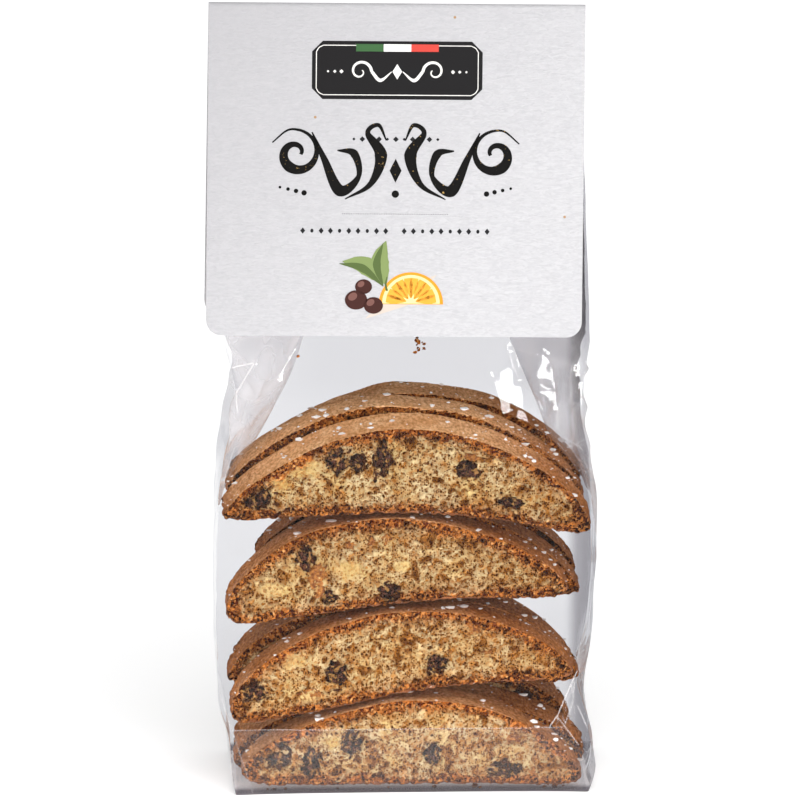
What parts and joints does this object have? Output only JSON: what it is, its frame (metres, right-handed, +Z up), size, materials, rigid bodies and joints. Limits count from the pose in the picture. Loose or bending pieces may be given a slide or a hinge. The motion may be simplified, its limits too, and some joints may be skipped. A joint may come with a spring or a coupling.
{
  "type": "bag of biscotti",
  "caption": "Clear block-bottom film bag of sliced chocolate and orange biscotti in tiers, closed by a folded card header.",
  "frame": {"origin": "on the ground under the middle of the pack's bounding box", "axes": "+Z up towards the folded top of the card, -Y out of the printed front, +X to the right seen from the front"},
  "size_m": [0.1168, 0.0509, 0.238],
  "materials": {
    "filled_bag": "baked biscotti seen through clear film",
    "film": "clear glossy film with soft creases",
    "biscotti": "matte baked crumb with a browned crust",
    "chocolate": "broken dark chocolate, satin",
    "fruit": "candied peel and nut, slightly glossy",
    "sugar": "coarse sugar grains",
    "card": "matte white felt-textured card",
    "print": "matte printed ink"
  },
  "bodies": {
    "root": {"film_bag": "filled_bag", "header_card": "card"}
  },
  "joints": []
}
